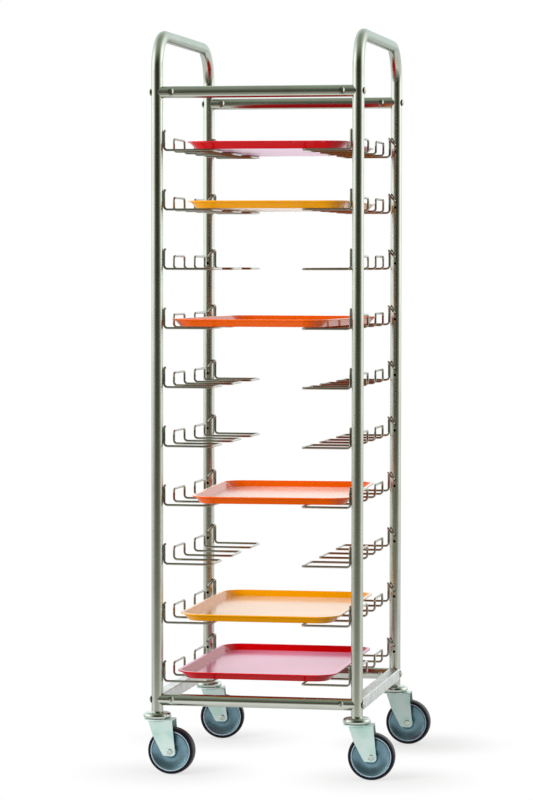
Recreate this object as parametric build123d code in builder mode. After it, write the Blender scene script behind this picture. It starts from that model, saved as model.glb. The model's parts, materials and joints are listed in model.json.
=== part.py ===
from build123d import *
from math import cos, radians, tan
import os

os.makedirs("parts", exist_ok=True)

# Tray return trolley, in millimetres. Left is -X, the front is -Y and the floor is z = 0.
# The origin lies on the floor, midway between the four uprights.
# Heights add up from the floor: wheel, fork, castor head, low crossbars, tray levels, handles.

# Castors, about a swivel axis at x = y = 0
wheel_radius = 50
wheel_trail = 31.5
tyre_width = 32
tyre_depth = 7
tyre_shoulder = 3.5
core_gap = 0.1
rim_inset = 1.5
rim_width = 3
dish_depth = 6
hub_radius = 14
axle_screw_radius = 4
axle_head_radius = 6
axle_head_height = 3
axle_nut_flats = 13
axle_nut_height = 5.5
sleeve_radius = 5.95
sleeve_clearance = 0.05
side_gap = 0.3
fork_sheet = 2.5
fork_clearance = 2
fork_tip_drop = 9.4
crown_over_wheel = 15.2
crown_radius = 28
kingpin_radius = 6
kingpin_clearance = 0.08
swivel_gap = 0.3
rivet_radius = 10
rivet_depth = 3
neck_radius = 19
neck_height = 1
head_height = 14.5
dome_radius = 30
dome_ledge = 2.5
stem_length = 45
stem_clearance = 0.3

# Side hoops
upright_spacing_x = 430
upright_spacing_y = 520
tube_radius = 12.5
tube_wall = 1.5
hoop_bend_radius = 75
handle_rise = 255.5
weld_gap = 0.3

# Side rails, square tube
rail_side = 25
rail_wall = 1.5
rail_corner_radius = 2
rail_setback = 8

# Crossbars with their screws and barrel nuts
crossbar_rise = 25.5
crossbar_drop = 134
barrel_setback = 32.5
barrel_radius = 5
barrel_length = 24
barrel_clearance = 0.1
screw_radius = 3
screw_clearance = 0.2
screw_head_radius = 7.5
screw_head_height = 3.5
screw_past_barrel = 7
screw_head_gap = 0.3

# Tray levels and their wire supports
level_count = 10
level_pitch = 125
lowest_level_rise = 39.5
wire_radius = 2.5
wire_gap = 0.3
finger_reach = 117.5
finger_count = 6
stop_height = 27
stop_overhang = 2.5
hook_height = 26
hook_tail = 8
spare_hole_height = 12
hook_hole_radius = 3.25
bend_cut = 4.5

# Trays
tray_length = 530
tray_width = 345
tray_height = 16
tray_floor = 3
tray_wall = 2.7
tray_corner_radius = 50
tray_slope = 42
lip_width = 3
lip_depth = 2.5
tray_rest_gap = 0.3

half_x = upright_spacing_x / 2
half_y = upright_spacing_y / 2
tube_bore = tube_radius - tube_wall
crown_bottom = 2 * wheel_radius + crown_over_wheel
crown_top = crown_bottom + fork_sheet
neck_foot = crown_top + swivel_gap
hoop_foot = neck_foot + head_height
crossbar_low = hoop_foot + crossbar_rise
lowest_level = crossbar_low + lowest_level_rise
first_level = lowest_level + (level_count - 1) * level_pitch
hoop_top = first_level + handle_rise
crossbar_high = hoop_top - crossbar_drop


# Side hoops: one bent tube is two uprights and the handle between them
with BuildPart() as left_hoop:
    handle_line = hoop_top - tube_radius
    with BuildLine(Plane.YZ.offset(-half_x)) as hoop_run:
        FilletPolyline(
            (-half_y, hoop_foot),
            (-half_y, handle_line),
            (half_y, handle_line),
            (half_y, hoop_foot),
            radius=hoop_bend_radius,
        )
    with BuildSketch(Plane((-half_x, -half_y, hoop_foot))):
        Circle(tube_radius)
        Circle(tube_bore, mode=Mode.SUBTRACT)
    sweep(path=hoop_run.wire())
    # Two holes a level, eight-sided, in the walls that face the middle of the side frame
    hole_heights = []
    for level in range(level_count):
        finger_line = first_level - level * level_pitch
        hole_heights += [finger_line + spare_hole_height, finger_line + hook_height]
    with BuildSketch(Plane.XZ):
        with Locations(*[(-half_x, height) for height in hole_heights]):
            RegularPolygon(hook_hole_radius, 8)
    extrude(amount=half_y, both=True, mode=Mode.SUBTRACT)
    # Holes for the crossbar screws
    with BuildSketch(Plane.YZ.offset(-half_x)):
        for height in (crossbar_low, crossbar_high):
            with Locations((-half_y, height), (half_y, height)):
                Circle(screw_radius + screw_clearance)
    extrude(amount=2 * tube_radius, both=True, mode=Mode.SUBTRACT)
left_hoop.part.label = "left_hoop"
export_step(left_hoop.part, "parts/left_hoop.step")

with BuildPart() as right_hoop:
    add(left_hoop.part)
    mirror(about=Plane.YZ, mode=Mode.REPLACE)
right_hoop.part.label = "right_hoop"
export_step(right_hoop.part, "parts/right_hoop.step")


# Side rails, level with the low crossbars, their ends cut round the uprights and the crossbars
with BuildPart() as left_rail:
    with BuildSketch(Plane.XZ):
        with Locations((-half_x, crossbar_low)):
            RectangleRounded(rail_side, rail_side, rail_corner_radius)
            Rectangle(rail_side - 2 * rail_wall, rail_side - 2 * rail_wall, mode=Mode.SUBTRACT)
    extrude(amount=half_y - rail_setback, both=True)
    with BuildSketch(Plane.XY):
        with Locations((-half_x, -half_y), (-half_x, half_y)):
            Circle(tube_radius + weld_gap)
    extrude(amount=crossbar_low + rail_side, mode=Mode.SUBTRACT)
    with BuildSketch(Plane.YZ.offset(-half_x)):
        with Locations((-half_y, crossbar_low), (half_y, crossbar_low)):
            Circle(tube_radius + weld_gap)
    extrude(amount=rail_side, mode=Mode.SUBTRACT)
left_rail.part.label = "left_rail"
export_step(left_rail.part, "parts/left_rail.step")

with BuildPart() as right_rail:
    add(left_rail.part)
    mirror(about=Plane.YZ, mode=Mode.REPLACE)
right_rail.part.label = "right_rail"
export_step(right_rail.part, "parts/right_rail.step")


# Crossbar: a round tube cut to fit between two uprights, with a cross hole for a nut near each end
with BuildPart() as crossbar:
    with BuildSketch(Plane.YZ):
        Circle(tube_radius)
        Circle(tube_bore, mode=Mode.SUBTRACT)
    extrude(amount=half_x, both=True)
    with BuildSketch(Plane.XY):
        with Locations((-half_x, 0), (half_x, 0)):
            Circle(tube_radius + weld_gap)
    extrude(amount=2 * tube_radius, both=True, mode=Mode.SUBTRACT)
    nut_line = half_x - barrel_setback
    with BuildSketch(Plane.XZ):
        with Locations((-nut_line, 0), (nut_line, 0)):
            Circle(barrel_radius + barrel_clearance)
    extrude(amount=2 * tube_radius, both=True, mode=Mode.SUBTRACT)

for place, y, z in (
    ("top_front", -half_y, crossbar_high),
    ("top_rear", half_y, crossbar_high),
    ("bottom_front", -half_y, crossbar_low),
    ("bottom_rear", half_y, crossbar_low),
):
    placed_bar = crossbar.part.moved(Location((0, y, z)))
    placed_bar.label = "crossbar_" + place
    export_step(placed_bar, "parts/crossbar_" + place + ".step")

corner_points = [(0, y, z) for y in (-half_y, half_y) for z in (crossbar_low, crossbar_high)]

# Crossbar screw with a low rounded head outside the upright, turned about its own axis
with BuildPart() as screw:
    head_face = -half_x - tube_radius - screw_head_gap
    with BuildSketch(Plane.XZ):
        with BuildLine():
            Polyline(
                (head_face - screw_head_height, 0),
                (head_face - screw_head_height, 0.5 * screw_head_radius),
                (head_face - 0.4 * screw_head_height, screw_head_radius),
                (head_face, screw_head_radius),
                (head_face, screw_radius),
                (-nut_line + screw_past_barrel, screw_radius),
                (-nut_line + screw_past_barrel, 0),
                close=True,
            )
        make_face()
    revolve(axis=Axis.X)

with BuildPart() as crossbar_screws:
    with Locations(*corner_points):
        add(screw.part)
    mirror(about=Plane.YZ)
crossbar_screws.part.label = "crossbar_screws"
export_step(crossbar_screws.part, "parts/crossbar_screws.step")

# Barrel nut lying across the crossbar, with the hole that takes the screw
with BuildPart() as barrel_nut:
    with BuildSketch(Plane.XZ):
        with Locations((-nut_line, 0)):
            Circle(barrel_radius)
    extrude(amount=barrel_length / 2, both=True)
    with BuildSketch(Plane.YZ.offset(-nut_line)):
        Circle(screw_radius + screw_clearance / 2)
    extrude(amount=2 * barrel_radius, both=True, mode=Mode.SUBTRACT)

with BuildPart() as barrel_nuts:
    with Locations(*corner_points):
        add(barrel_nut.part)
    mirror(about=Plane.YZ)
barrel_nuts.part.label = "barrel_nuts"
export_step(barrel_nuts.part, "parts/barrel_nuts.step")


# Wire support: one bent wire that hooks into both uprights of a side, drawn as a line of corners
# from the front hook to the middle and then the same backwards; the section is a hexagon
side_line = tube_radius + wire_radius + wire_gap
stop_line = side_line - stop_overhang
finger_pitch = upright_spacing_y / (finger_count - 1)
front_half = [
    (0, hook_tail, hook_height),
    (0, side_line, hook_height),
    (side_line, side_line, hook_height + side_line),
    (side_line, 0, hook_height + side_line),
    (side_line, 0, 0),
    (finger_reach, 0, 0),
    (finger_reach, finger_pitch, 0),
    (stop_line, finger_pitch, 0),
    (stop_line, finger_pitch, stop_height),
    (stop_line, 2 * finger_pitch, stop_height),
    (stop_line, 2 * finger_pitch, 0),
    (finger_reach, 2 * finger_pitch, 0),
]
rear_half = [(inward, upright_spacing_y - back, up) for inward, back, up in reversed(front_half)]
wire_corners = [Vector(point) for point in front_half + rear_half]
sharp_corners = 3
wire_line = wire_corners[:sharp_corners]
for index in range(sharp_corners, len(wire_corners) - sharp_corners):
    corner = wire_corners[index]
    for neighbour in (wire_corners[index - 1], wire_corners[index + 1]):
        wire_line.append(corner + (neighbour - corner).normalized() * bend_cut)
wire_line += wire_corners[-sharp_corners:]

with BuildPart() as left_support:
    support_origin = Vector(-half_x, -half_y, first_level)
    with BuildLine() as support_run:
        Polyline(*[support_origin + point for point in wire_line])
    with BuildSketch(Plane(support_origin + wire_line[0], x_dir=(1, 0, 0), z_dir=(0, 1, 0))):
        RegularPolygon(1.1 * wire_radius, 6)
    sweep(path=support_run.wire(), transition=Transition.RIGHT)

with BuildPart() as right_support:
    add(left_support.part)
    mirror(about=Plane.YZ, mode=Mode.REPLACE)

for level in range(level_count):
    level_shift = Location((0, 0, -level * level_pitch))
    for side, support in (("left", left_support), ("right", right_support)):
        placed_support = support.part.moved(level_shift)
        placed_support.label = f"support_{side}_{level + 1:02d}"
        export_step(placed_support, f"parts/support_{side}_{level + 1:02d}.step")


# Tray: a moulded dish with sloping walls, a rim that stands out and a rounded foot
with BuildPart() as tray:
    slope_run = tray_height * tan(radians(tray_slope))
    foot_length = tray_length - 2 * lip_width - 2 * slope_run
    foot_width = tray_width - 2 * lip_width - 2 * slope_run
    foot_radius = tray_corner_radius - lip_width - slope_run
    with BuildSketch(Plane.XY):
        RectangleRounded(foot_width, foot_length, foot_radius)
    extrude(amount=tray_height, taper=-tray_slope)
    foot_edges = tray.faces().sort_by(Axis.Z)[0].edges()
    fillet(foot_edges, radius=tray_floor)
    with BuildSketch(Plane.XY.offset(tray_height - lip_depth)):
        RectangleRounded(tray_width, tray_length, tray_corner_radius)
    extrude(amount=lip_depth)
    inset = tray_wall / cos(radians(tray_slope)) - tray_floor * tan(radians(tray_slope))
    with BuildSketch(Plane.XY.offset(tray_floor)):
        RectangleRounded(foot_width - 2 * inset, foot_length - 2 * inset, foot_radius - inset)
    extrude(amount=tray_height - tray_floor, taper=-tray_slope, mode=Mode.SUBTRACT)

# Where the loose trays lie on their levels, and how far they are turned
tray_places = {
    1: (4, 10, 2.5),
    2: (7, 10, 2),
    4: (-8, 9, -4),
    7: (10, 12, 3.5),
    9: (-3, 5, 0.5),
    10: (-10, 17, 0),
}
for level, (x, y, turn) in tray_places.items():
    finger_line = first_level - (level - 1) * level_pitch
    tray_z = finger_line + wire_radius + tray_rest_gap
    placed_tray = tray.part.moved(Location((x, y, tray_z), (0, 0, turn)))
    placed_tray.label = f"tray_{level:02d}"
    export_step(placed_tray, f"parts/tray_{level:02d}.step")


# Castor head: stem in the upright, domed cap, neck and king pin, all in one turning
rivet_top = crown_bottom - swivel_gap
rivet_foot = rivet_top - rivet_depth
dome_foot = neck_foot + neck_height
dome_belt = dome_foot + 0.4 * (hoop_foot - dome_foot)
stem_radius = tube_bore - stem_clearance
with BuildPart() as castor_head:
    with BuildSketch(Plane.XZ):
        with BuildLine():
            Polyline(
                (0, hoop_foot + stem_length),
                (stem_radius, hoop_foot + stem_length),
                (stem_radius, hoop_foot),
                (tube_radius + dome_ledge, hoop_foot),
                (dome_radius - 5, hoop_foot - 2.2),
                (dome_radius - 0.5, dome_belt + 2),
                (dome_radius, dome_belt),
                (dome_radius - 1.5, dome_foot + 1.6),
                (dome_radius - 5, dome_foot),
                (neck_radius, dome_foot),
                (neck_radius, neck_foot),
                (kingpin_radius, neck_foot),
                (kingpin_radius, rivet_top),
                (rivet_radius, rivet_top),
                (rivet_radius - 1.5, rivet_foot),
                (0, rivet_foot),
                close=True,
            )
        make_face()
    revolve(axis=Axis.Z)
    with BuildSketch(Plane.YZ):
        with Locations((0, crossbar_low)):
            Circle(screw_radius + screw_clearance)
    extrude(amount=2 * stem_radius, both=True, mode=Mode.SUBTRACT)

# Castor fork: one folded sheet, a round crown with two tapering legs
axle_plane = Plane((wheel_trail, 0, wheel_radius), x_dir=(1, 0, 0), z_dir=(0, -1, 0))
axle_line = Axis((wheel_trail, 0, wheel_radius), (0, 1, 0))
fork_inside = tyre_width / 2 + fork_clearance
fork_outside = fork_inside + fork_sheet
with BuildPart() as castor_fork:
    with BuildSketch(Plane.XZ):
        with BuildLine():
            leg_line = Polyline(
                (-16, crown_top),
                (-15, crown_top - 5),
                (-10.2, crown_top - 19),
                (-5.5, crown_top - 34),
                (wheel_trail - 20.5, wheel_radius + 2),
                (wheel_trail - 14.2, wheel_radius - fork_tip_drop),
                (wheel_trail + 12.5, wheel_radius - fork_tip_drop),
                (wheel_trail + 11.3, wheel_radius + 2),
                (wheel_trail + 5.3, crown_top - 6),
                (wheel_trail + 5.3, crown_top),
                close=True,
            )
        make_face()
        leg_tips = leg_line.vertices().group_by(Axis.Y)[0]
        fillet(leg_tips, radius=7)
    extrude(amount=fork_outside, both=True)
    folds = castor_fork.faces().sort_by(Axis.Z)[-1].edges().filter_by(Axis.X)
    fillet(folds, radius=fork_sheet)
    with BuildSketch(Plane.YZ):
        with BuildLine():
            Polyline(
                (-fork_inside, 0),
                (-fork_inside, crown_bottom),
                (fork_inside, crown_bottom),
                (fork_inside, 0),
                close=True,
            )
        make_face()
    extrude(amount=4 * crown_radius, both=True, mode=Mode.SUBTRACT)
    with BuildSketch(Plane.XY.offset(crown_bottom)):
        Circle(crown_radius)
    extrude(amount=fork_sheet)
    with BuildSketch(Plane.XY.offset(crown_bottom)):
        Circle(kingpin_radius + kingpin_clearance)
    extrude(amount=fork_sheet, mode=Mode.SUBTRACT)
    with BuildSketch(axle_plane):
        Circle(axle_screw_radius + screw_clearance)
    extrude(amount=fork_outside, both=True, mode=Mode.SUBTRACT)

# Castor axle: screw with a round head at the front and a nut at the back, and the sleeve it clamps
with BuildPart() as castor_axle:
    with BuildSketch(axle_plane):
        Circle(sleeve_radius)
    extrude(amount=fork_inside, both=True)
    with BuildSketch(axle_plane.offset(-fork_outside - axle_nut_height - 1)):
        Circle(axle_screw_radius)
    extrude(amount=2 * fork_outside + axle_nut_height + 1)
    with BuildSketch(axle_plane.offset(fork_outside)):
        Circle(axle_head_radius)
    extrude(amount=axle_head_height)
    chamfer(castor_axle.faces().sort_by(Axis.Y)[0].edges(), length=axle_head_height / 2)
    with BuildSketch(axle_plane.offset(-fork_outside - axle_nut_height)):
        RegularPolygon(axle_nut_flats / 2, 6, major_radius=False)
    extrude(amount=axle_nut_height)

# Wheel core: bored hub, dished web and a flat rim face
with BuildPart() as castor_wheel:
    core_radius = wheel_radius - tyre_depth - core_gap
    hub_half = fork_inside - side_gap
    rim_half = tyre_width / 2 - rim_inset
    web_half = rim_half - dish_depth
    with BuildSketch(Plane(axle_line.position)):
        with BuildLine():
            Polyline(
                (sleeve_radius + sleeve_clearance, 0),
                (sleeve_radius + sleeve_clearance, hub_half),
                (hub_radius - 1, hub_half),
                (hub_radius + 1, web_half),
                (core_radius - rim_width - 10, web_half),
                (core_radius - rim_width, rim_half),
                (core_radius, rim_half),
                (core_radius, 0),
            )
            mirror(about=Plane.XZ)
        make_face()
    revolve(axis=axle_line)

# Tyre round the core
with BuildPart() as castor_tyre:
    tyre_half = tyre_width / 2
    with BuildSketch(Plane(axle_line.position)):
        with BuildLine():
            Polyline(
                (wheel_radius - tyre_depth, 0),
                (wheel_radius - tyre_depth, tyre_half),
                (wheel_radius - tyre_shoulder, tyre_half),
                (wheel_radius - 0.5, tyre_half - tyre_shoulder),
                (wheel_radius, 0),
            )
            mirror(about=Plane.XZ)
        make_face()
    revolve(axis=axle_line)

# Each castor stands under an upright, turned about its swivel axis
castor_turns = {
    "front_left": (-half_x, -half_y, -1),
    "front_right": (half_x, -half_y, 3.5),
    "rear_left": (-half_x, half_y, 8),
    "rear_right": (half_x, half_y, 0),
}
castor_pieces = {
    "head": castor_head,
    "fork": castor_fork,
    "axle": castor_axle,
    "wheel": castor_wheel,
    "tyre": castor_tyre,
}
for corner_name, (x, y, turn) in castor_turns.items():
    for piece_name, piece in castor_pieces.items():
        piece_turn = 0 if piece_name == "head" else turn
        placed_piece = piece.part.moved(Location((x, y, 0), (0, 0, piece_turn)))
        placed_piece.label = f"castor_{corner_name}_{piece_name}"
        export_step(placed_piece, f"parts/castor_{corner_name}_{piece_name}.step")
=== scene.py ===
import json
import math
import bmesh
import bpy
from mathutils import Matrix, Vector


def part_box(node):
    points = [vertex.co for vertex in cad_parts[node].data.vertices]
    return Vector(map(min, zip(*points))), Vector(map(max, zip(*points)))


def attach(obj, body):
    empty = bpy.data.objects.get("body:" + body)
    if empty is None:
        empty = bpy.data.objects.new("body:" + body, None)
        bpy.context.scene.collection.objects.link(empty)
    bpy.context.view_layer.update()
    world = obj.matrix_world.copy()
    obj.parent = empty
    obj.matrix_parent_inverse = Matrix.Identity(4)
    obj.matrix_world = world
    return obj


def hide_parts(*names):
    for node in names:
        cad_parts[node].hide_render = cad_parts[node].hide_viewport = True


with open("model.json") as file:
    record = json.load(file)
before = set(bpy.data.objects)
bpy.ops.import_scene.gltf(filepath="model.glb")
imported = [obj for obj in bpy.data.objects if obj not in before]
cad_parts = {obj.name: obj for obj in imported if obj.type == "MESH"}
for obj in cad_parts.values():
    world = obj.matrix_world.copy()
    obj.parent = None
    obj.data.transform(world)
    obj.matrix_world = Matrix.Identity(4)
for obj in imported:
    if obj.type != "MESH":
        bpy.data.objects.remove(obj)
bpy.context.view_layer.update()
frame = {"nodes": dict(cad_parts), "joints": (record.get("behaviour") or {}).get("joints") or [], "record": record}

nodes = frame["nodes"]
mm = 0.001
print("frame loaded:", len(nodes), "nodes")


def toLinear(hexColour):
    channels = [int(hexColour[i:i + 2], 16) / 255 for i in (1, 3, 5)]
    return [c / 12.92 if c <= 0.04045 else ((c + 0.055) / 1.055) ** 2.4 for c in channels] + [1]


def addNode(tree, kind, inputs={}, links={}, stops=(), **settings):
    made = tree.nodes.new(kind)
    for name, value in settings.items():
        setattr(made, name, value)
    for name, value in inputs.items():
        made.inputs[name].default_value = value
    for name, source in links.items():
        tree.links.new(source, made.inputs[name])
    if stops:  # of a colour ramp: places in rising order, each with its colour
        elements = made.color_ramp.elements
        elements[0].position, elements[1].position = stops[0][0], stops[-1][0]
        for place, _ in stops[1:-1]:
            elements.new(place)
        for element, (_, colour) in zip(elements, stops):
            element.color = toLinear(colour)
    return made


def newMaterial(name):
    material = bpy.data.materials.new(name)
    material.use_nodes = True
    material.node_tree.nodes.clear()
    return material, material.node_tree


# The photograph's own view: a long lens nearly level with the middle of the trolley, a little from the right
cameraPlan = {
    "place": (1.3168, -6.8663, 1.0862),
    "azimuth": 10.856,
    "pitch": 2.765,
    "roll": 0.073,
    "lens": 144.15,
    "shift": (-0.01698, 0.02148),
    "sensor": 36,
    "farthest": 100,
}
cameraData = bpy.data.cameras.new("studioCamera")
cameraData.sensor_width = cameraPlan["sensor"]
cameraData.lens = cameraPlan["lens"]
cameraData.shift_x, cameraData.shift_y = cameraPlan["shift"]
cameraData.clip_end = cameraPlan["farthest"]
cameraObject = bpy.data.objects.new("studioCamera", cameraData)
cameraObject.matrix_world = (
    Matrix.Translation(cameraPlan["place"])
    @ Matrix.Rotation(math.radians(cameraPlan["azimuth"]), 4, "Z")
    @ Matrix.Rotation(math.radians(90 - cameraPlan["pitch"]), 4, "X")
    @ Matrix.Rotation(math.radians(cameraPlan["roll"]), 4, "Z")
)
bpy.context.scene.collection.objects.link(cameraObject)
bpy.context.scene.camera = cameraObject
bpy.context.scene.view_settings.view_transform = "Standard"
print("camera placed")


grainPlan = {"spread": 0.03, "steelDepth": 0.05, "plasticDepth": 0.1}  # spread of roughness, depths in mm


def addGrain(tree, place, look, depth):
    # Fine marks of the surface, which change its gloss a little and stand up from it
    grain = addNode(tree, "ShaderNodeTexNoise", {"Scale": 1 / (look["grain"] * mm), "Detail": 3},
                    {"Vector": place.outputs["Object"]})
    roughness = addNode(tree, "ShaderNodeMapRange",
                        {"To Min": look["roughness"] - grainPlan["spread"],
                         "To Max": look["roughness"] + grainPlan["spread"]},
                        {"Value": grain.outputs["Fac"]})
    relief = addNode(tree, "ShaderNodeBump", {"Strength": look["relief"], "Distance": depth * mm},
                     {"Height": grain.outputs["Fac"]})
    return grain, roughness, relief


def polishedSteel(name, look):
    # Steel, ground and polished or plated: bright, its mirror image softly blurred by the fine grain
    material, tree = newMaterial(name)
    place = addNode(tree, "ShaderNodeTexCoord")
    # Grinding marks are some 0.2 mm apart; drawn coarser so that they show
    _, roughness, relief = addGrain(tree, place, look, grainPlan["steelDepth"])
    clouds = addNode(tree, "ShaderNodeTexNoise", {"Scale": 1 / (look["cloud"] * mm), "Detail": 2},
                     {"Vector": place.outputs["Object"]})
    colour = addNode(tree, "ShaderNodeValToRGB", {}, {"Fac": clouds.outputs["Fac"]}, look["colours"])
    shader = addNode(tree, "ShaderNodeBsdfPrincipled", {"Metallic": look["metallic"]},
                     {"Base Color": colour.outputs["Color"], "Roughness": roughness.outputs["Result"],
                      "Normal": relief.outputs["Normal"]})
    if "turned" in look:  # ground on a lathe, so the mirror image smears along the tube
        shader.inputs["Anisotropic"].default_value = look["turned"]
        shader.inputs["Specular Tint"].default_value = toLinear(look["edge"])
        along = addNode(tree, "ShaderNodeCombineXYZ", {"X": 1})
        if look["bent"]:  # a tube bent in a plane of equal X: its run is square to that and to the surface
            outward = addNode(tree, "ShaderNodeNewGeometry")
            along = addNode(tree, "ShaderNodeVectorMath", {1: (1, 0, 0)}, {0: outward.outputs["Normal"]},
                            operation="CROSS_PRODUCT")
        tree.links.new(along.outputs["Vector"], shader.inputs["Tangent"])
    addNode(tree, "ShaderNodeOutputMaterial", {}, {"Surface": shader.outputs["BSDF"]})
    return material


def mouldedPlastic(name, look):
    # Injection moulded plastic: even colour through and through, its gloss set by the polish of the mould
    material, tree = newMaterial(name)
    place = addNode(tree, "ShaderNodeTexCoord")
    grain, roughness, relief = addGrain(tree, place, look, grainPlan["plasticDepth"])
    colour = addNode(tree, "ShaderNodeValToRGB", {}, {"Fac": grain.outputs["Fac"]},
                     [(0.3, look["dark"]), (0.7, look["pale"])])
    shader = addNode(tree, "ShaderNodeBsdfPrincipled",
                     {"IOR": 1.53, "Specular IOR Level": look["gloss"], "Sheen Weight": look["scuff"],
                      "Sheen Roughness": 0.25, "Sheen Tint": toLinear(look["scuffTint"])},
                     {"Base Color": colour.outputs["Color"], "Roughness": roughness.outputs["Result"],
                      "Normal": relief.outputs["Normal"]})
    addNode(tree, "ShaderNodeOutputMaterial", {}, {"Surface": shader.outputs["BSDF"]})
    return material


hoopTube = {"colours": [(0.3, "#CACDC4"), (0.7, "#D4D8D0")], "metallic": 1, "roughness": 0.2, "grain": 2,
            "cloud": 60, "relief": 0.01, "turned": 0.55, "bent": True, "edge": "#D0D8D6"}
zincPlate = {"colours": [(0.35, "#C2E2DA"), (0.5, "#D2ECE6"), (0.62, "#DCEDE9"), (0.75, "#C8E8E0")],
             "metallic": 0.45, "roughness": 0.3, "grain": 5, "cloud": 35, "relief": 0.03}
# Used trays are scuffed by crockery, which gives them a pale bloom at a low angle
tray = {"roughness": 0.13, "grain": 4, "relief": 0.01, "gloss": 0.2, "scuff": 0.6, "scuffTint": "#FFF6E8"}
moulding = {"grain": 1.5, "relief": 0.08, "gloss": 0.5, "scuff": 0, "scuffTint": "#FFFFFF"}
finishes = {
    "tube": polishedSteel("turnedStainlessTube", hoopTube),
    "rail": polishedSteel("satinStainlessRail", {
        "colours": [(0.3, "#D2D8D8"), (0.7, "#F2F6F6")], "metallic": 0.8, "roughness": 0.36, "grain": 2,
        "cloud": 25, "relief": 0.05}),
    "wire": polishedSteel("polishedStainlessWire", {
        "colours": [(0.3, "#A09F94"), (0.7, "#AFAEA3")], "metallic": 1, "roughness": 0.12, "grain": 2,
        "cloud": 60, "relief": 0.03}),
    "fastener": polishedSteel("brightZincScrew", {
        "colours": [(0.3, "#B4B3A9"), (0.7, "#C4C3B9")], "metallic": 1, "roughness": 0.22, "grain": 2,
        "cloud": 30, "relief": 0.04}),
    "castor_steel": polishedSteel("bluePassivatedZinc", zincPlate),
    "wheel_core": polishedSteel("silverGreyPolyamide", {  # its metal flake pigment shines much as metal does
        "colours": [(0.3, "#6A8C9B"), (0.7, "#7A9CAA")], "metallic": 0.8, "roughness": 0.27, "grain": 2,
        "cloud": 20, "relief": 0.03}),
    "tyre": mouldedPlastic("blackRubberSidewall", {
        **moulding, "dark": "#070B12", "pale": "#0E141E", "roughness": 0.5, "gloss": 0.2}),
    "tray_red": mouldedPlastic("redGlossAbs", {
        **tray, "dark": "#CE000A", "pale": "#D80210", "scuff": 0.7, "scuffTint": "#FFD6FF"}),
    "tray_amber": mouldedPlastic("amberGlossAbs", {**tray, "dark": "#F6A400", "pale": "#FBAE04"}),
    "tray_orange": mouldedPlastic("orangeGlossAbs", {**tray, "dark": "#F55F05", "pale": "#FA690A"}),
}
crossbarFinish = polishedSteel("turnedStainlessBar", {**hoopTube, "bent": False})
capFinish = polishedSteel("brightZincCap", {
    "colours": [(0.3, "#C3CCC6"), (0.7, "#D2DAD4")], "metallic": 1, "roughness": 0.14, "grain": 3, "cloud": 20,
    "relief": 0.03})
treadFinish = mouldedPlastic("wornRubberTread", {**moulding, "dark": "#2C282D", "pale": "#403B41", "roughness": 0.5})
# The pale colour of the wheel core's outer bead is a painted highlight, standing in for the bright line that its
# round catches
beadPaintedHighlight = mouldedPlastic("coreBeadPaintedHighlight", {**moulding, "dark": "#A4B7C4", "pale": "#B2C4D0", "roughness": 0.3})
for entry in frame["record"]["subparts"]:
    nodes[entry["node"]].material_slots[0].material = finishes[entry["material_slot"]]
for name in nodes:
    if name.endswith("_axle"):
        nodes[name].material_slots[0].material = capFinish
print("finishes made:", len(finishes))


def addPiece(name, mesh, slot, body, *stoodFor):
    if not mesh.materials:
        mesh.materials.append(finishes[slot])
    for face in mesh.polygons:
        face.use_smooth = True
    piece = bpy.data.objects.new(name, mesh)
    bpy.context.scene.collection.objects.link(piece)
    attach(piece, body)
    if stoodFor:
        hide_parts(*stoodFor)


# Wire supports: the real wire is round and bends in arcs, so each CAD support gives way to one
wirePlan = {
    "radius": 2.5,
    "bend": 7,
    "uprightX": 215,
    "uprightY": 260,
    "tubeRadius": 12.5,
    "gap": 0.3,
    "hookTail": 8,
    "hookHeight": 26,
    "fingerReach": 117.5,
    "fingerPitch": 104,
    "stopHeight": 27,
    "stopOverhang": 2.5,
    "firstLevel": 1322.5,
    "levelPitch": 125,
    "levels": 10,
    "roundness": 3,
    "bendSteps": 5,
}


def wireCorners(plan):
    side = plan["tubeRadius"] + plan["radius"] + plan["gap"]
    stop = side - plan["stopOverhang"]
    tip, pitch, up = plan["fingerReach"], plan["fingerPitch"], plan["hookHeight"]
    half = [(0, plan["hookTail"], up), (0, side, up), (side, side, up + side), (side, 0, up + side),
            (side, 0, 0), (tip, 0, 0), (tip, pitch, 0), (stop, pitch, 0),
            (stop, pitch, plan["stopHeight"]), (stop, 2 * pitch, plan["stopHeight"]),
            (stop, 2 * pitch, 0), (tip, 2 * pitch, 0)]
    depth = 2 * plan["uprightY"]
    return half + [(x, depth - y, z) for x, y, z in reversed(half)]


def bentWire(name, corners, bend, radius):
    # Two Bezier points at each corner, where the bend starts and ends, with handles along the straight runs
    line = bpy.data.curves.new(name, "CURVE")
    line.dimensions = "3D"
    line.bevel_depth = radius
    line.bevel_resolution = wirePlan["roundness"]
    line.resolution_u = wirePlan["bendSteps"]
    line.use_fill_caps = True
    knots = [corners[0]]
    turns = [None]
    for before, corner, after in zip(corners, corners[1:], corners[2:]):
        arriving = (corner - before).normalized()
        leaving = (after - corner).normalized()
        turn = arriving.angle(leaving)
        reach = bend * math.tan(turn / 2)
        pull = bend * 4 / 3 * math.tan(turn / 4)
        knots += [corner - arriving * reach, corner + leaving * reach]
        turns += [(arriving, pull, "in"), (leaving, pull, "out")]
    knots.append(corners[-1])
    turns.append(None)
    spline = line.splines.new("BEZIER")
    spline.bezier_points.add(len(knots) - 1)
    for index, (knot, turn) in enumerate(zip(knots, turns)):
        point = spline.bezier_points[index]
        point.co = knot
        point.handle_left_type = point.handle_right_type = "FREE"
        previous = knots[max(index - 1, 0)]
        following = knots[min(index + 1, len(knots) - 1)]
        point.handle_left = knot + (previous - knot) / 3
        point.handle_right = knot + (following - knot) / 3
        if turn and turn[2] == "in":
            point.handle_right = knot + turn[0] * turn[1]
        if turn and turn[2] == "out":
            point.handle_left = knot - turn[0] * turn[1]
    shape = bpy.data.objects.new(name, line)
    mesh = bpy.data.meshes.new_from_object(shape)
    bpy.data.objects.remove(shape)
    return mesh


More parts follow.
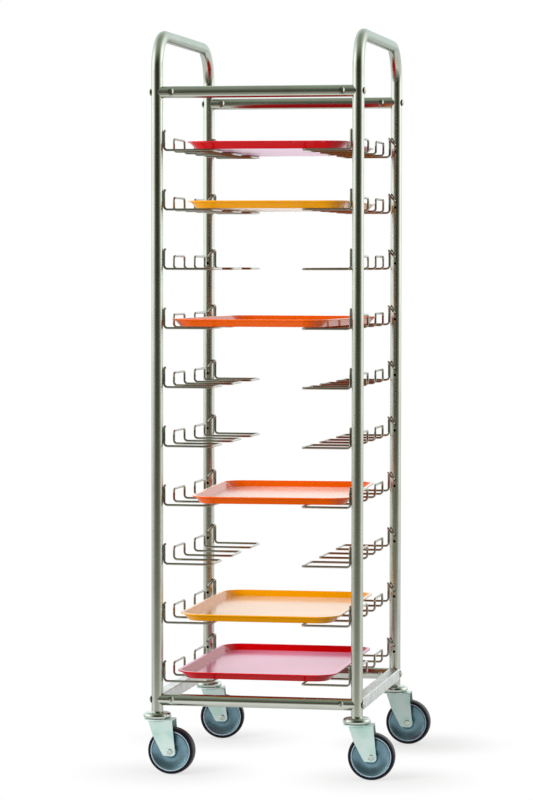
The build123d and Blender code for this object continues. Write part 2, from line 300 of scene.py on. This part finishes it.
for sideName, sign in (("left", -1), ("right", 1)):
    for level in range(wirePlan["levels"]):
        height = wirePlan["firstLevel"] - level * wirePlan["levelPitch"]
        corners = [Vector((sign * (wirePlan["uprightX"] - x), y - wirePlan["uprightY"], height + z)) * mm
                   for x, y, z in wireCorners(wirePlan)]
        label = f"{sideName}_{level + 1:02d}"
        mesh = bentWire("bentWire_" + label, corners, wirePlan["bend"] * mm, wirePlan["radius"] * mm)
        addPiece("bentWire_" + label, mesh, "wire", "frame", "support_" + label)
print("wire supports bent")


# Castors: the wheels and the swivel caps are turned again with the round edges that the CAD's few facets can't show
lathePlan = {"steps": 72, "segments": 4, "mergeWithin": 0.001, "sharpFrom": 35}  # the last two in mm and degrees
castorPlan = {
    "core": [(6, 17.7, 0), (13, 17.7, 1), (15, 9, 2), (28, 8.5, 8), (38.4, 12.5, 1.5), (40.4, 14.3, 0.5),
             (40.9, 15.3, 0.5), (42.7, 15.3, 0.5), (42.9, 14, 0)],  # radius, half width and rounding of each corner
    "beadFrom": 40.4,
    "beadBeyond": 14,
    "tyre": [(43, 15.2, 0.5), (43.6, 16, 0.5), (46.9, 16, 2.2), (49.5, 12.4, 4), (49.99, 4, 0)],
    "treadFrom": 45,
    "treadWithin": 13,
    "cap": [(0, 177.5, 0), (10.7, 177.5, 0), (10.7, 132.5, 0), (15, 132.5, 1), (25.5, 131.5, 4), (29.9, 127.5, 4),
            (29.9, 121, 3), (27, 119, 1), (19, 119, 0), (19, 118, 0), (6, 118, 0), (6, 114.9, 0), (10, 114.9, 0),
            (8.5, 111.9, 0), (0, 111.9, 0)],  # radius, height and rounding
}


def turned(name, outline, place):
    shape = bmesh.new()
    points = [shape.verts.new((radius * mm, 0, height * mm)) for radius, height, _ in outline]
    for one, other in zip(points, points[1:]):
        shape.edges.new((one, other))
    if outline[0][0] > 0:  # a ring: its outline goes right round
        shape.edges.new((points[-1], points[0]))
    for point, (_, _, size) in zip(points, outline):
        if size:
            bmesh.ops.bevel(shape, geom=[point], offset=size * mm, affect="VERTICES",
                            segments=lathePlan["segments"], profile=0.5, material=-1)
    bmesh.ops.spin(shape, geom=shape.verts[:] + shape.edges[:], angle=2 * math.pi, steps=lathePlan["steps"],
                   axis=(0, 0, 1), cent=(0, 0, 0), use_merge=True)
    bmesh.ops.remove_doubles(shape, verts=shape.verts, dist=lathePlan["mergeWithin"] * mm)
    bmesh.ops.recalc_face_normals(shape, faces=shape.faces)
    for edge in shape.edges:
        edge.smooth = edge.calc_face_angle(0) < math.radians(lathePlan["sharpFrom"])
    bmesh.ops.transform(shape, matrix=place, verts=shape.verts)
    mesh = bpy.data.meshes.new(name)
    shape.to_mesh(mesh)
    shape.free()
    return mesh


def bothSides(outline):
    return outline + [(radius, -height, size) for radius, height, size in reversed(outline)]


for joint in frame["joints"]:
    if not joint["name"].endswith("_roll"):
        continue
    castor = joint["name"][:-len("_roll")]
    label = castor[len("castor_"):]
    centre, axle = Vector(joint["pos_m"]), Vector(joint["axis"]).normalized()
    wheelPlace = Matrix.Translation(centre) @ axle.to_track_quat("Z", "Y").to_matrix().to_4x4()
    core = turned("wheelCore", bothSides(castorPlan["core"]), wheelPlace)
    tyre = turned("tyre", bothSides(castorPlan["tyre"]), wheelPlace)
    for mesh, plain, other in ((core, "wheel_core", beadPaintedHighlight), (tyre, "tyre", treadFinish)):
        mesh.materials.append(finishes[plain])
        mesh.materials.append(other)
        for face in mesh.polygons:
            across = abs((face.center - centre).dot(axle))
            radius = math.sqrt((face.center - centre).length_squared - across ** 2)
            # the outer faces of the core's bead take the pale finish, a painted highlight
            if mesh is core:
                face.material_index = (radius > castorPlan["beadFrom"] * mm
                                       and across > castorPlan["beadBeyond"] * mm)
            else:
                face.material_index = (radius > castorPlan["treadFrom"] * mm
                                       and across < castorPlan["treadWithin"] * mm)
    addPiece("wheelCore_" + label, core, "wheel_core", castor + "_wheel", castor + "_wheel")
    addPiece("tyre_" + label, tyre, "tyre", castor + "_wheel", castor + "_tyre")
    low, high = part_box(castor + "_head")
    capPlace = Matrix.Translation(((low[0] + high[0]) / 2, (low[1] + high[1]) / 2, 0))
    cap = turned("castorCap", castorPlan["cap"], capPlace)
    cap.materials.append(capFinish)
    addPiece("castorCap_" + label, cap, "castor_steel", "frame", castor + "_head")
print("castors finished")


# Crossbars: each real tube is pressed in round its barrel nuts, and the dimples catch the light
barPlan = {
    "radius": 12.5,
    "end": (215, 12.8),
    "endBand": 1,
    "nutX": 182.5,
    "dimple": (6.5, 10, 2.4),
    "rings": [0, 90, 174] + [175 + step for step in range(16)] + [191, 200],
    "nut": [(0, 10.9, 0), (5, 10.9, 0.5)],
}
barRings = [-x for x in reversed(barPlan["rings"][1:])] + barPlan["rings"]
endX, seatRadius = barPlan["end"]
dimpleX, dimpleZ, dimpleDepth = barPlan["dimple"]
barOutline = [(0, -endX, 0)] + [(barPlan["radius"], x, 0) for x in (-endX, *barRings, endX)] + [(0, endX, 0)]
nuts = bmesh.new()
for place in ("top_front", "top_rear", "bottom_front", "bottom_rear"):
    low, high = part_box("crossbar_" + place)
    centre = (Vector(low) + Vector(high)) / 2
    bar = turned("pressedCrossbar", barOutline, Matrix.Rotation(math.pi / 2, 4, "Y"))
    for vertex in bar.vertices:
        x, y, z = vertex.co / mm
        if abs(x) > endX - barPlan["endBand"]:  # cut to the round of the upright
            x = math.copysign(endX - math.sqrt(seatRadius ** 2 - y ** 2), x)
        off = math.hypot((abs(x) - barPlan["nutX"]) / dimpleX, z / dimpleZ)
        if off < 1:
            y -= math.copysign(dimpleDepth * (1 + math.cos(math.pi * off)) / 2, y)
        vertex.co = centre + Vector((x, y, z)) * mm
    bar.materials.append(crossbarFinish)
    addPiece("pressedCrossbar_" + place, bar, "tube", "frame", "crossbar_" + place)
    for sign in (-1, 1):
        nutCentre = centre + Vector((sign * barPlan["nutX"] * mm, 0, 0))
        nutPlace = Matrix.Translation(nutCentre) @ Matrix.Rotation(math.pi / 2, 4, "X")
        nuts.from_mesh(turned("barrelNut", bothSides(barPlan["nut"]), nutPlace))
nutMesh = bpy.data.meshes.new("barrelNuts")
nuts.to_mesh(nutMesh)
nuts.free()
addPiece("barrelNuts", nutMesh, "fastener", "frame", "barrel_nuts")
print("crossbars pressed")


def seenDirectly(tree, rays):
    # 1 where the camera, a mirror or glass shows a surface, and 0 where it only throws light on others
    seen = rays.outputs["Is Camera Ray"]
    for kind in ("Is Glossy Ray", "Is Transmission Ray"):
        either = addNode(tree, "ShaderNodeMath", {}, {0: seen, 1: rays.outputs[kind]}, operation="MAXIMUM")
        seen = either.outputs["Value"]
    return seen


# Floor: white to the camera, apart from soft shadows round the wheels. In polished metal it shows painted shade: it
# darkens towards the camera's side, where the pale paper runs out of the light, and a little under the trolley.
floorPlan = {
    "size": 60,
    "colour": "#FAFDFC",
    "bounced": "#B4B6B6",
    "wheelSpot": (0.235, 0.255, 0),
    "spotShift": (-0.035, 0, 0),
    "shadowShare": 0.33,
    "shadowFrom": 0.03,
    "shadowTo": 0.24,
    # mirror: the floor's glowing tone along Y in polished metal, painted shade towards the camera's side and a
    # painted shadow under the trolley
    "mirror": [(-9, "#3C3E33"), (-5.5, "#6A6C5F"), (-3.7, "#8A8C7E"), (-1.4, "#A5A79A"), (-0.9, "#DBDCD5"),
               (-0.6, "#FFFFFF"), (-0.2, "#E2E2DE"), (0.5, "#DDDDD9"), (3, "#F4F4F0")],
}
floorMesh = bpy.data.meshes.new("paleFloor")
shape = bmesh.new()
bmesh.ops.create_grid(shape, x_segments=1, y_segments=1, size=floorPlan["size"] / 2)
shape.to_mesh(floorMesh)
shape.free()
floor = bpy.data.objects.new("paleFloor", floorMesh)
bpy.context.scene.collection.objects.link(floor)
floorMaterial, tree = newMaterial("palePaperFloor")
place = addNode(tree, "ShaderNodeTexCoord")
moved = addNode(tree, "ShaderNodeVectorMath", {1: floorPlan["spotShift"]}, {0: place.outputs["Object"]},
                operation="ADD")
quarter = addNode(tree, "ShaderNodeVectorMath", {}, {0: moved.outputs["Vector"]}, operation="ABSOLUTE")
reach = addNode(tree, "ShaderNodeVectorMath", {1: floorPlan["wheelSpot"]}, {0: quarter.outputs["Vector"]},
                operation="DISTANCE")
near = addNode(tree, "ShaderNodeMapRange",
               {"From Min": floorPlan["shadowFrom"], "From Max": floorPlan["shadowTo"],
                "To Min": floorPlan["shadowShare"], "To Max": 0}, {"Value": reach.outputs["Value"]},
               interpolation_type="SMOOTHSTEP")
paper = addNode(tree, "ShaderNodeBsdfDiffuse", {"Color": toLinear(floorPlan["colour"])})
bounced = addNode(tree, "ShaderNodeBsdfDiffuse", {"Color": toLinear(floorPlan["bounced"])})
depth = addNode(tree, "ShaderNodeSeparateXYZ", {}, {"Vector": place.outputs["Object"]})
mirrorFrom, mirrorTo = floorPlan["mirror"][0][0], floorPlan["mirror"][-1][0]
depthShare = addNode(tree, "ShaderNodeMapRange", {"From Min": mirrorFrom, "From Max": mirrorTo},
                     {"Value": depth.outputs["Y"]})
mirrorTone = addNode(tree, "ShaderNodeValToRGB", {}, {"Fac": depthShare.outputs["Result"]},
                     [((y - mirrorFrom) / (mirrorTo - mirrorFrom), colour) for y, colour in floorPlan["mirror"]])
rays = addNode(tree, "ShaderNodeLightPath")
tone = addNode(tree, "ShaderNodeMix", {6: (1, 1, 1, 1)},
               {0: rays.outputs["Is Glossy Ray"], 7: mirrorTone.outputs["Color"]}, data_type="RGBA")
white = addNode(tree, "ShaderNodeEmission", {"Strength": 1}, {"Color": tone.outputs[2]})
seen = addNode(tree, "ShaderNodeMixShader", {}, {0: near.outputs["Result"], 1: white.outputs["Emission"],
                                                 2: paper.outputs["BSDF"]})
surface = addNode(tree, "ShaderNodeMixShader", {}, {0: seenDirectly(tree, rays), 1: bounced.outputs["BSDF"],
                                                    2: seen.outputs["Shader"]})
addNode(tree, "ShaderNodeOutputMaterial", {}, {"Surface": surface.outputs["Shader"]})
floorMesh.materials.append(floorMaterial)

# World: soft light, some three times as strong from the sides as from above, and white where it is seen. Polished
# metal shows two bright screens left and right, a greyer backdrop behind, a dark room on the camera's side and a
# dim ceiling.
worldPlan = {
    "level": 1.08,
    "above": 0.35,
    "mirrored": 1.8,
    "roomSide": (0.309, -0.951, 0),
    "ring": [(0, "#CED4D3"), (0.07, "#D1D6D5"), (0.25, "#DDE1DF"), (0.37, "#EDEEEA"), (0.5, "#FFFFFF"),
             (0.56, "#F2F4EF"), (0.67, "#E0E3D9"), (0.787, "#9D9F93"), (0.883, "#4F5146"), (0.97, "#27281F"),
             (1, "#1B1C14")],
    "ceiling": "#6F7769",
    "ceilingFrom": 0.35,
    "ceilingTo": 1.05,
}
world = bpy.data.worlds.new("studio")
bpy.context.scene.world = world
world.use_nodes = True
tree = world.node_tree
tree.nodes.clear()
direction = addNode(tree, "ShaderNodeTexCoord")
flat = addNode(tree, "ShaderNodeVectorMath", {1: (1, 1, 0)}, {0: direction.outputs["Generated"]},
               operation="MULTIPLY")
level = addNode(tree, "ShaderNodeVectorMath", {}, {0: flat.outputs["Vector"]}, operation="NORMALIZE")
side = addNode(tree, "ShaderNodeVectorMath", {1: Vector(worldPlan["roomSide"]).normalized()},
               {0: level.outputs["Vector"]}, operation="DOT_PRODUCT")
turn = addNode(tree, "ShaderNodeMapRange", {"From Min": -1, "From Max": 1}, {"Value": side.outputs["Value"]})
ring = addNode(tree, "ShaderNodeValToRGB", {}, {"Fac": turn.outputs["Result"]}, worldPlan["ring"])
height = addNode(tree, "ShaderNodeSeparateXYZ", {}, {"Vector": direction.outputs["Generated"]})
overhead = addNode(tree, "ShaderNodeMapRange",
                   {"From Min": worldPlan["ceilingFrom"], "From Max": worldPlan["ceilingTo"]},
                   {"Value": height.outputs["Z"]}, interpolation_type="SMOOTHSTEP")
room = addNode(tree, "ShaderNodeMix", {7: toLinear(worldPlan["ceiling"])},
               {0: overhead.outputs["Result"], 6: ring.outputs["Color"]}, data_type="RGBA")
rays = addNode(tree, "ShaderNodeLightPath")
mirrored = addNode(tree, "ShaderNodeMix", {6: (1, 1, 1, 1)},
                   {0: rays.outputs["Is Glossy Ray"], 7: room.outputs[2]}, data_type="RGBA")
seenLevel = addNode(tree, "ShaderNodeMapRange", {"To Min": 1, "To Max": worldPlan["mirrored"]},
                    {"Value": rays.outputs["Is Glossy Ray"]})
seenWorld = addNode(tree, "ShaderNodeBackground", {},
                    {"Color": mirrored.outputs[2], "Strength": seenLevel.outputs["Result"]})
lightLevel = addNode(tree, "ShaderNodeMapRange", {"To Min": worldPlan["level"], "To Max": worldPlan["above"]},
                     {"Value": height.outputs["Z"]})
plainWorld = addNode(tree, "ShaderNodeBackground", {"Color": (1, 1, 1, 1)},
                     {"Strength": lightLevel.outputs["Result"]})
surface = addNode(tree, "ShaderNodeMixShader", {},
                  {0: seenDirectly(tree, rays), 1: plainWorld.outputs["Background"],
                   2: seenWorld.outputs["Background"]})
addNode(tree, "ShaderNodeOutputWorld", {}, {"Surface": surface.outputs["Shader"]})

lampPlan = {"place": (-3.4, -4, 1.6), "aim": (0, 0, 0.5), "size": 2, "power": 190}
lampData = bpy.data.lights.new("softbox", "AREA")
lampData.energy = lampPlan["power"]
lampData.size = lampPlan["size"]
lamp = bpy.data.objects.new("softbox", lampData)
lampAim = Vector(lampPlan["aim"]) - Vector(lampPlan["place"])
lamp.matrix_world = Matrix.Translation(lampPlan["place"]) @ lampAim.to_track_quat("-Z", "Y").to_matrix().to_4x4()
lamp.visible_glossy = False
bpy.context.scene.collection.objects.link(lamp)
print("studio lit")
